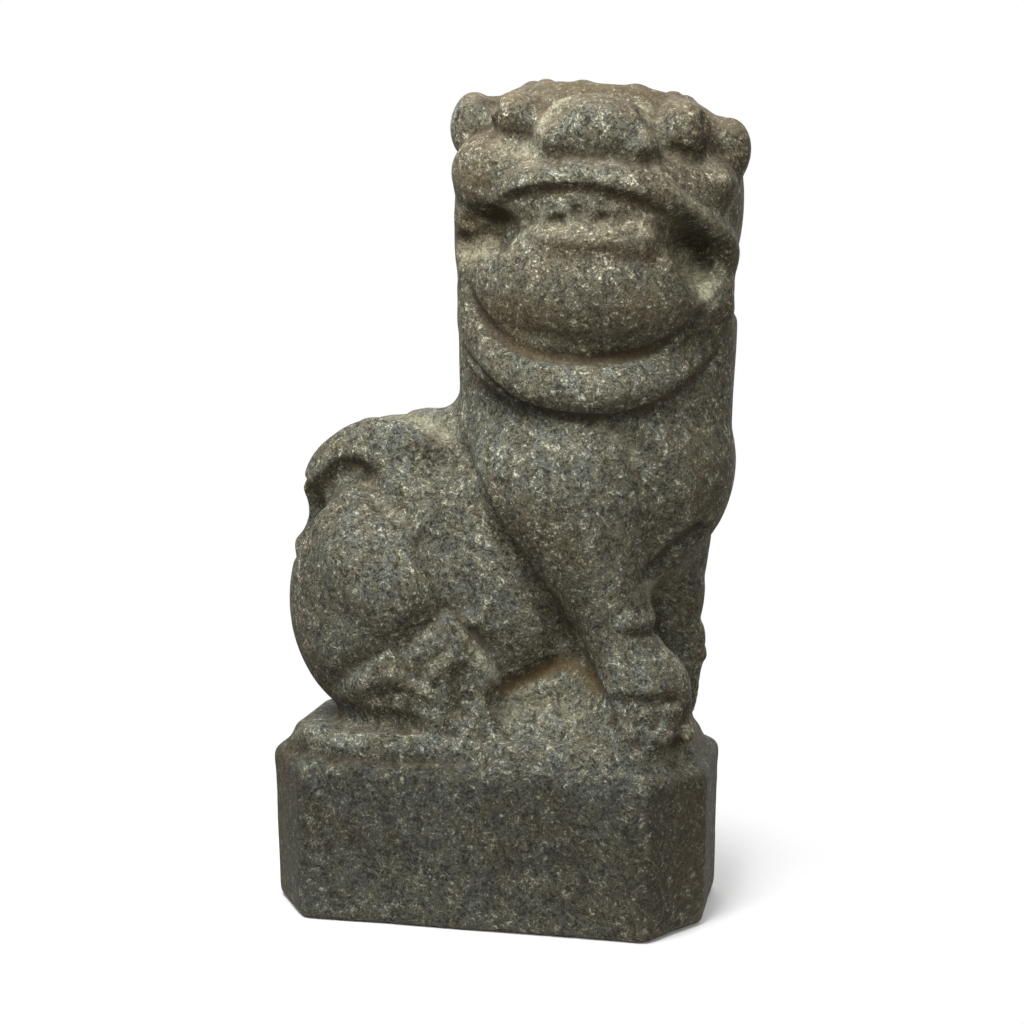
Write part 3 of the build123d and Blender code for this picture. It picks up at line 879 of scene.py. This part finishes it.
def grain_and_shade_colours(place, facing, speckle):
    """Cool and olive stone with dark and pale grains, browner in drifts and at the head, and painted
    shade: browner on faces turned down or to the right.
    """
    # Painted shade: faces turned down or to the right go browner; the drifts and the head's brown are the
    # stone's own.
    brown_and_shade = (
        BROWN_DRIFT_SHARE * place.cloud(DRIFT_SPACING, detail=1.0).between(*BROWN_DRIFTS)
        + BROWN_RIGHT_SHADE_SHARE * facing.axis("X").between(*FACING_RIGHT)
        + BROWN_UNDER_SHADE_SHARE * (-facing.axis("Z")).between(*FACING_DOWN)
        + BROWN_HEAD_SHARE * place.axis("Z").between(*metres(HEAD_RISE))
    )
    dark = SPECK_SHARE - SPECK_SHARE * speckle.between(*DARK_SPECKS)
    pale = SPECK_SHARE * speckle.between(*PALE_SPECKS)
    colour = place.cloud(TINT_SPACING).between(*OLIVE_TINTS).mix(COOL_GRAIN, OLIVE_GRAIN)
    colour = brown_and_shade.mix(colour, BROWN_TONE_AND_SHADE)
    colour = dark.mix(colour, DARK_GRAIN)
    colour = pale.mix(colour, PALE_GRAIN)
    return colour.times(DARKEST_PATCH + PATCH_RANGE * place.cloud(PATCH_SPACING))


def weathered_and_shaded(colour, place, facing, speckle):
    """Plinth darkened with darker stone and painted shade, painted warm light on the crown, edges paler
    from wear and a painted highlight, then dust and painted light, painted shade in creases, stains and
    painted shade.
    """
    upward = facing.axis("Z")
    height = place.axis("Z")
    crease, recess, dust_and_painted_light, stain_shade_and_light = (
        place.add("ShaderNodeAttribute", {"attribute_name": layer}, output="Fac")
        for layer in ("crease", "recess", "dust_and_painted_light", "stain_shade_and_light")
    )
    # Painted shade, with the plinth's darker stone: everything below the plinth's top is darker.
    plinth = 1 - height.between(*metres(PLINTH_TOP))
    colour = colour.times(1 - PLINTH_DARKER_STONE_AND_SHADE * plinth)
    # Painted warm light on the crown's upward faces, then painted shade that dims them.
    crown = height.between(*metres(CROWN_RISE)) * upward.between(*TOP_OF_CROWN)
    colour = (CROWN_LIGHT_WARMTH * crown).mix(colour, WARM_TOP_LIGHT).times(1 - CROWN_PAINTED_SHADE * crown)
    # Worn edges with a painted highlight: the stone is paler on its convex edges.
    colour = colour.times(1 + EDGES_PALER_WORN_AND_LIT * (-recess).between(*WORN_AND_LIT_EDGES))

    # Dust settles on the upward floors of hollows; the rubbed-in patches are dust in some places and
    # painted light and highlights in others.
    settled_dust = SETTLED_DUST * recess.between(*RECESSES) * upward.between(*FACING_UP)
    clinging = LEAST_CLING + SPECK_CLING * speckle.between(*DUSTY_SPECKS)
    dust_and_light_share = clinging * (settled_dust + RUBBED_DUST_AND_LIGHT * dust_and_painted_light.between(*RUBBED_IN))
    # Painted shade: the creases go dark brown.
    crease_shade = CREASE_SHADE_SHARE * crease.between(*CREASES) * (1 - dust_and_painted_light)
    # Stains, and painted shade under things and in corners, with painted warm light on the crown.
    stain_and_shade_share = (1 - CLEAN_SPECKS * speckle) * stain_shade_and_light.between(*RUBBED_IN)
    colour = dust_and_light_share.mix(colour, PALE_DUST_AND_LIGHT)
    colour = crease_shade.mix(colour, CREASE_SHADE_BROWN)
    return stain_and_shade_share.mix(colour, OCHRE_STAIN_AND_SHADE)


def speckled_stone():
    """Dark volcanic stone: streaky grains, dust and painted light on the floors of hollows, and painted
    shade in the creases.
    """
    material = bpy.data.materials.new("speckled_stone")
    bench = workbench(material)
    place = bench.add("ShaderNodeTexCoord", output="Object")
    facing = bench.add("ShaderNodeNewGeometry", output="Normal")
    grain = place.cloud(GRAIN_SPACING, detail=4.0, roughness=0.7, distortion=1.6)
    fleck = place.cloud(FLECK_SPACING, roughness=0.6, distortion=0.6)
    blotch = place.cloud(BLOTCH_SPACING, roughness=0.6, distortion=1.4)
    speckle = GRAIN_SHARE * grain + FLECK_SHARE * fleck + BLOTCH_SHARE * blotch
    bumps = {
        "Strength": BUMP_STRENGTH,
        "Distance": BUMP_HEIGHT * MM,
        "Height": grain + FLECK_BUMPS * fleck,
    }
    finish = {
        "Base Color": weathered_and_shaded(grain_and_shade_colours(place, facing, speckle), place, facing, speckle),
        "Roughness": ROUGHNESS + ROUGHER_SPECKS * speckle,
        "Normal": bench.add("ShaderNodeBump", inputs=bumps),
        "Specular IOR Level": GLOSS,
    }
    surface = bench.add("ShaderNodeBsdfPrincipled", inputs=finish)
    bench.add("ShaderNodeOutputMaterial", inputs={"Surface": surface})
    return material


def pale_floor():
    """A pale floor that fades into the white behind it."""
    material = bpy.data.materials.new("pale_floor")
    bench = workbench(material)
    place = bench.add("ShaderNodeTexCoord", output="Object")
    far = bench.add("ShaderNodeVectorMath", {"operation": "LENGTH"}, {0: place}, "Value")
    paint = bench.add("ShaderNodeBsdfDiffuse", inputs={"Color": FLOOR_PAINT})
    clear = bench.add("ShaderNodeBsdfTransparent")
    fade = far.between(*metres(FLOOR_FADE))
    mixed = bench.add("ShaderNodeMixShader", inputs={0: fade, 1: paint, 2: clear})
    bench.add("ShaderNodeOutputMaterial", inputs={"Surface": mixed})
    corners = FLOOR_HALF * np.array([(-1, -1, 0), (1, -1, 0), (1, 1, 0), (-1, 1, 0)])
    floor = new_piece("floor", corners, [(0, 1, 2, 3)], material)


def hang_lamp(name, lamp):
    """Hangs a soft lamp that points at the lion."""
    light = bpy.data.lights.new(name, "AREA")
    light.size = lamp.size * MM
    light.energy = lamp.power
    holder = new_object(name, light)
    holder.location = metres(lamp.place)
    aim = Vector(CAMERA_AIM * MM) - holder.location
    holder.rotation_euler = aim.to_track_quat("-Z", "Y").to_euler()


def white_room():
    """Even light from all round, seen as white."""
    world = bpy.data.worlds.new("white_room")
    bench = workbench(world)
    camera, glossy, through = (
        bench.add("ShaderNodeLightPath", output=ray)
        for ray in ("Is Camera Ray", "Is Glossy Ray", "Is Transmission Ray")
    )
    seen = bench.maths("MINIMUM", camera + glossy + through, 1.0)
    strength = ROOM_LIGHT + (1 - ROOM_LIGHT) * seen
    sky = bench.add("ShaderNodeBackground", inputs={"Color": ROOM_WHITE, "Strength": strength})
    bench.add("ShaderNodeOutputWorld", inputs={"Surface": sky})
    bpy.context.scene.world = world


def photo_camera():
    """The camera where the photograph was taken from."""
    data = bpy.data.cameras.new("photo_camera")
    data.sensor_width = SENSOR_WIDTH
    data.lens = FOCAL_PIXELS / PHOTO_WIDTH * SENSOR_WIDTH
    camera = new_object("photo_camera", data)
    camera.location = camera_place * MM
    camera.rotation_euler = Vector(-camera_back).to_track_quat("-Z", "Y").to_euler()
    bpy.context.scene.camera = camera


cut_pieces(carved_block(), speckled_stone())
pale_floor()
for name, lamp in LAMPS.items():
    hang_lamp(name, lamp)
white_room()
photo_camera()
bpy.context.scene.view_settings.view_transform = "Standard"
